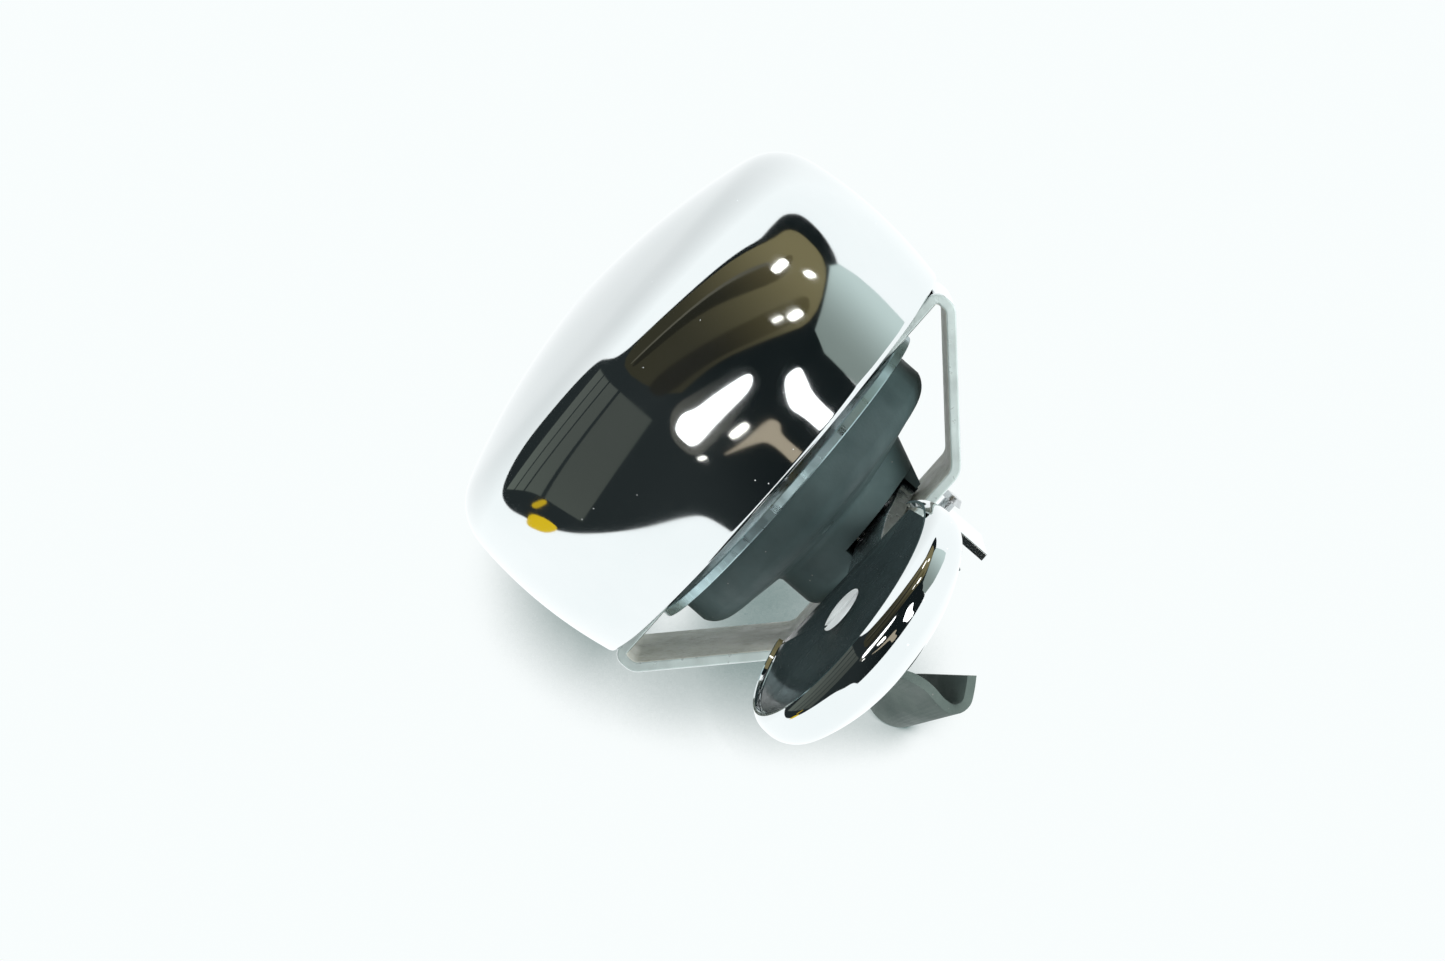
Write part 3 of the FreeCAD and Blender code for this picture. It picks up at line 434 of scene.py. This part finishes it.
def skin(name, paints, bevel=0.0, angle=32.0, body="bell", pick=None):
    """A CAD piece with its facets merged, its curves smooth and its hard edges slightly broken."""
    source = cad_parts[name]
    shape = bmesh.new()
    shape.from_mesh(source.data)
    bmesh.ops.remove_doubles(shape, verts=shape.verts, dist=0.002 * MM)
    bmesh.ops.dissolve_degenerate(shape, dist=0.0005 * MM, edges=shape.edges)
    mesh = bpy.data.meshes.new(name + "_finished")
    for face in shape.faces:
        face.smooth = True
        face.material_index = pick(face) if pick else 0
    shape.to_mesh(mesh)
    shape.free()
    mesh.set_sharp_from_angle(angle=math.radians(angle))
    made = piece(name + "_finished", mesh, *paints)
    if bevel:
        edge = made.modifiers.new("broken_edges", "BEVEL")
        edge.width = bevel * MM
        edge.segments = 2
        edge.limit_method = "ANGLE"
        edge.angle_limit = math.radians(angle)
        edge.harden_normals = True
    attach(made, body)
    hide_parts(name)
    return made


def steel(name, colour, roughness, grain=1.0, stretch=(1, 1, 1), metallic=1.0):
    """A worked metal, slightly patchy and brushed. A low metallic value makes it satin and pale."""
    paint, tree, shader, place = finish_of(name, colour, metallic, roughness)
    patch = cloud(tree, place, 350, 0.0, 1.0, 6.0)
    darker = tuple(c * 0.78 for c in colour)
    join(tree, tint(tree, patch, darker, colour), shader, "Base Color")
    brushed = cloud(tree, place, 900, roughness * 0.7, roughness * 1.35, 5.0, stretch)
    join(tree, brushed, shader, "Roughness")
    emboss(tree, shader, cloud(tree, place, 2600, 0.0, 1.0, 4.0, stretch), 0.12 * grain, 0.02 * MM)
    return paint


plated = steel("plated_steel", (0.66, 0.68, 0.69), 0.24)
turned_brass = steel("turned_brass", (0.72, 0.55, 0.28), 0.28, 1.0, (1, 1, 12))
spring_steel = steel("spring_steel", (0.42, 0.42, 0.43), 0.30)
fibre, tree, shader, place = finish_of("red_fibre", (0.40, 0.10, 0.07), 0.0, 0.75)
patch = cloud(tree, place, 1800, 0, 1)
join(tree, tint(tree, patch, (0.28, 0.06, 0.04), (0.48, 0.14, 0.10)), shader, "Base Color")
emboss(tree, shader, cloud(tree, place, 4000, 0, 1), 0.3)
skin("gong_boss", [plated], 0.12)
skin("gong_washer", [fibre], 0.05)
skin("post_sleeve", [turned_brass], 0.05)
skin("centre_post", [plated], 0.15)
skin("spring_washer", [spring_steel], 0.05)
skin("saddle_nut", [plated], 0.12)

# ---- Base plate and rivets -----------------------------------------------------------------------
# A rolled steel disc, dull and bluish, under the gong's mouth. Plated rivets hold the bracket's tabs
# and the moulded housing to it.
ring, tree, shader, place = finish_of("rolled_steel", (0.42, 0.50, 0.53), 1.0, 0.32)
patch = cloud(tree, place, 160, 0, 1, 6)
join(tree, tint(tree, patch, (0.36, 0.49, 0.51), (0.58, 0.75, 0.78)), shader, "Base Color")
join(tree, cloud(tree, place, 1200, 0.22, 0.42, 5, (1, 1, 0.2)), shader, "Roughness")
emboss(tree, shader, cloud(tree, place, 3000, 0, 1, 4, (1, 1, 0.2)), 0.12, 0.02 * MM)
skin("base_plate", [ring], 0.18)
skin("tab_rivets", [plated], 0.15)
skin("housing_rivets", [plated], 0.10)

# ---- Housing -------------------------------------------------------------------------------------
# A stepped moulding in matt black rubber between the base plate and the bracket, with a lobe round
# the lever's shaft and a slot in front for the lever. Handling leaves it greyish with fine dust.


def rubber(name, dark, light, dust):
    paint, tree, shader, place = finish_of(name, dark, 0.0, 0.62, Specular_IOR_Level=0.35)
    patch = cloud(tree, place, 110, 0.0, 1.0, 7.0)
    grime = tint(tree, patch, dark, light)
    dots = specks(tree, place, 1300, 0.13, dust)
    join(tree, tint(tree, dots, grime, (0.20, 0.20, 0.19)), shader, "Base Color")
    join(tree, cloud(tree, place, 300, 0.50, 0.74), shader, "Roughness")
    emboss(tree, shader, cloud(tree, place, 2400, 0, 1, 5), 0.30, 0.03 * MM)
    return paint


house_rubber = rubber("moulded_rubber", (0.028, 0.048, 0.049), (0.062, 0.096, 0.096), 0.05)
skin("housing", [house_rubber], 0.30, 28.0)

# ---- Bracket -------------------------------------------------------------------------------------
# One strap of steel bent round the housing: chromed and polished on its outer side, satin on its
# cut edges, with the inner side left rough, grey and a little tan.
raw, tree, shader, place = finish_of("raw_strap_steel", (0.80, 0.80, 0.74), 0.0, 0.60)
blotch = cloud(tree, place, 260, 0, 1, 8)
fine_blotch = cloud(tree, place, 1500, 0, 1, 5)
ground = tint(tree, blotch, (0.52, 0.52, 0.43), (0.95, 0.95, 0.84))
join(tree, tint(tree, fine_blotch, ground, (0.86, 0.88, 0.80)), shader, "Base Color")
join(tree, cloud(tree, place, 700, 0.40, 0.70), shader, "Roughness")
emboss(tree, shader, fine_blotch, 0.45, 0.05 * MM)
strap_chrome = chrome("bracket_chrome", 0.02, 0.07)
cut_edge = steel("cut_edge_steel", (0.58, 0.67, 0.65), 0.34, 1.5, metallic=0.30)
WINDOW_CENTRE = Vector((0, 0, MOUTH - 8.0 * MM))


def outer_side(face):
    """0 on the polished outer side of the bent strap, 1 on its raw inner side, 2 on its cut edges."""
    centre, way = face.calc_center_median(), face.normal
    out = centre - WINDOW_CENTRE
    out.y = 0
    if abs(way.y) > 0.5:
        return 2
    return 0 if way.dot(out) > -0.35 * out.length else 1


skin("bracket", [strap_chrome, raw, cut_edge], 0.30, 30.0, pick=outer_side)

# ---- Saddle, cradle and stud ---------------------------------------------------------------------
# A chromed steel saddle under the bracket's flat, lined with a black rubber cradle that sits on the
# bar. A plated stud on its right cheek takes the free end of the strap.
skin("saddle", [chrome("saddle_chrome", 0.03, 0.10)], 0.15)
skin("cradle", [house_rubber], 0.30)
skin("strap_stud", [plated], 0.12)

# ---- Lever ---------------------------------------------------------------------------------------
# A plated shaft in a brass bush turns with the steel arm. On the arm's end a slotted countersunk
# screw clamps a D-shaped gloss black plate, which closes a shallow chromed shell.
PAD_CENTRE = Vector((-3.644, -32.672, 25.4)) * MM
PAD_TURN = Matrix.Rotation(math.radians(-13.5), 4, "Z") @ Matrix.Rotation(math.radians(8.0), 4, "X")
PAD_PLACE = Matrix.Translation(PAD_CENTRE) @ PAD_TURN
SHELL_CUT = 9.3 * MM
SHELL_WALL = 0.7

skin("lever_shaft", [plated], 0.15, body="lever")
skin("shaft_bush", [turned_brass], 0.06)
skin("lever_arm", [plated], 0.20, body="lever")

gloss, tree, shader, place = finish_of("gloss_black", (0.006, 0.0065, 0.007), 0.0, 0.10)
long_marks = cloud(tree, place, 60, 0.0, 1.0, 3.0, (9, 70, 9, 0, 0, 0.5))
marks = node(tree, "ShaderNodeMath", {0: long_marks, 1: 0.97}, operation="GREATER_THAN").outputs[0]
cross_marks = cloud(tree, place, 60, 0.0, 1.0, 3.0, (80, 7, 9, 0, 0, 0.2))
more_marks = node(tree, "ShaderNodeMath", {0: cross_marks, 1: 0.985}, operation="GREATER_THAN").outputs[0]
scuffs = node(tree, "ShaderNodeMath", {0: marks, 1: more_marks}, operation="MAXIMUM").outputs[0]
dots = specks(tree, place, 1400, 0.12, 0.10)
veil = cloud(tree, place, 130, 0.0, 1.0, 7.0)
ground = tint(tree, veil, (0.009, 0.014, 0.015), (0.024, 0.034, 0.036))
ground = tint(tree, dots, ground, (0.16, 0.165, 0.17))
join(tree, ground, shader, "Base Color")
dull = node(tree, "ShaderNodeMix", {0: scuffs, 2: cloud(tree, place, 200, 0.07, 0.20), 3: 0.42})
join(tree, dull.outputs[0], shader, "Roughness")
skin("lever_plate", [gloss], 0.22, body="lever")

screw_steel = steel("screw_steel", (0.95, 0.98, 0.98), 0.42, 3.0, metallic=0.10)
skin("lever_screw", [screw_steel], 0.10, body="lever")
skin("shell_pillar", [turned_brass], 0.10, body="lever")

shell_lip = bow((14.95, 0.32), (15.52, -0.40), (15.80, -1.60), 16)
shell_side = shell_lip + bow((15.80, -1.60), (15.75, -3.30), (14.5, -5.2), 30)[1:]
shell_floor = bow((14.5, -5.2), (9.5, -7.6), (0.5, -8.3), 50)
shell_outer = eased(shell_side + shell_floor[1:], 12)
shell_inner = [(r, -z) for r, z in inset([(r, -z) for r, z in shell_outer], SHELL_WALL)]
brim = [(shell_outer[0][0] - 0.1, 0.42), (shell_inner[0][0] + 0.1, 0.42)]
profile = [(0, shell_outer[-1][1])] + shell_outer[::-1] + brim + shell_inner + [(0, shell_inner[-1][1])]
shell_mesh = lathe("shell_polished", profile, 256)
shape = bmesh.new()
shape.from_mesh(shell_mesh)
whole = shape.verts[:] + shape.edges[:] + shape.faces[:]
cut = bmesh.ops.bisect_plane(
    shape, geom=whole, dist=1e-7, plane_co=(0, SHELL_CUT, 0), plane_no=(0, 1, 0), clear_outer=True
)
rim = [e for e in cut["geom_cut"] if isinstance(e, bmesh.types.BMEdge)]
closed = bmesh.ops.triangle_fill(shape, edges=rim, use_beauty=True, use_dissolve=False, normal=(0, 1, 0))
for face in closed["geom"]:
    if isinstance(face, bmesh.types.BMFace):
        face.smooth = False
bmesh.ops.recalc_face_normals(shape, faces=shape.faces)
shape.to_mesh(shell_mesh)
shape.free()
shell_mesh.set_sharp_from_angle(angle=math.radians(40))
shell_mesh.transform(PAD_PLACE)
shell = piece("shell_polished", shell_mesh, chrome("shell_chrome", 0.03, 0.05))
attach(shell, "lever")
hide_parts("lever_shell")

# ---- Hammer, clip and return spring --------------------------------------------------------------
# Inside the gong a plated arm pressed on the shaft carries a turned brass hammer. A steel clip
# keeps it on, and a coil of spring wire hooked on a pin brings the lever back.
SHAFT_X = 0.5 * (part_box("lever_shaft")[0].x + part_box("lever_shaft")[1].x)
skin("hammer_arm", [plated], 0.10, body="lever")
skin("hammer_head", [turned_brass], 0.15, body="lever")
skin("shaft_clip", [spring_steel], 0.05, body="lever")
skin("spring_pin", [plated], 0.08)

spring_tree = bpy.data.node_groups.new("wound_spring", "GeometryNodeTree")
for label in ("Coil Radius", "Height", "Turns", "Wire Radius"):
    spring_tree.interface.new_socket(label, in_out="INPUT", socket_type="NodeSocketFloat")
spring_tree.interface.new_socket("Wire", in_out="INPUT", socket_type="NodeSocketMaterial")
spring_tree.interface.new_socket("Geometry", in_out="OUTPUT", socket_type="NodeSocketGeometry")
given = spring_tree.nodes.new("NodeGroupInput").outputs
line = node(
    spring_tree,
    "GeometryNodeCurveSpiral",
    {
        "Resolution": 48,
        "Rotations": given["Turns"],
        "Start Radius": given["Coil Radius"],
        "End Radius": given["Coil Radius"],
        "Height": given["Height"],
    },
)
section = node(
    spring_tree, "GeometryNodeCurvePrimitiveCircle", {"Resolution": 12, "Radius": given["Wire Radius"]}
)
wound = node(
    spring_tree,
    "GeometryNodeCurveToMesh",
    {"Curve": line.outputs[0], "Profile Curve": section.outputs[0], "Fill Caps": True},
)
real = node(spring_tree, "GeometryNodeRealizeInstances", {"Geometry": wound.outputs[0]})
painted = node(
    spring_tree, "GeometryNodeSetMaterial", {"Geometry": real.outputs[0], "Material": given["Wire"]}
)
node(spring_tree, "NodeGroupOutput", {"Geometry": painted.outputs[0]})
holder = piece("spring_holder", bpy.data.meshes.new("spring_holder"))
coil = holder.modifiers.new("wound_spring", "NODES")
coil.node_group = spring_tree
low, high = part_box("return_spring")
SPRING_WIRE = 0.25 * MM
SPRING_PITCH = 0.8 * MM
spring_tall = high.z - low.z - 2 * SPRING_WIRE
sizes = {
    "Coil Radius": 0.5 * (high.x - low.x) - SPRING_WIRE,
    "Height": spring_tall,
    "Turns": spring_tall / SPRING_PITCH,
    "Wire Radius": SPRING_WIRE,
    "Wire": spring_steel,
}
for socket in spring_tree.interface.items_tree:
    if socket.item_type == "SOCKET" and socket.in_out == "INPUT":
        coil[socket.identifier] = sizes[socket.name]
bpy.context.view_layer.update()
ready = holder.evaluated_get(bpy.context.evaluated_depsgraph_get())
spring_mesh = bpy.data.meshes.new_from_object(ready)
bpy.data.objects.remove(holder)
spring_mesh.transform(Matrix.Translation((SHAFT_X, 0, low.z + SPRING_WIRE)))
for face in spring_mesh.polygons:
    face.use_smooth = True
spring = piece("spring_wound", spring_mesh)
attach(spring, "bell")
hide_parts("return_spring")

# ---- Rubber strap --------------------------------------------------------------------------------
# A strap of soft matt rubber riveted to the saddle's left cheek. It hangs free, turns back on
# itself and ends in a short lip that would hook on the stud.
strap_rubber = rubber("strap_rubber", (0.060, 0.085, 0.078), (0.120, 0.155, 0.138), 0.07)
skin("rubber_strap", [strap_rubber], 0.25, 40.0)
skin("strap_rivet", [plated], 0.10)
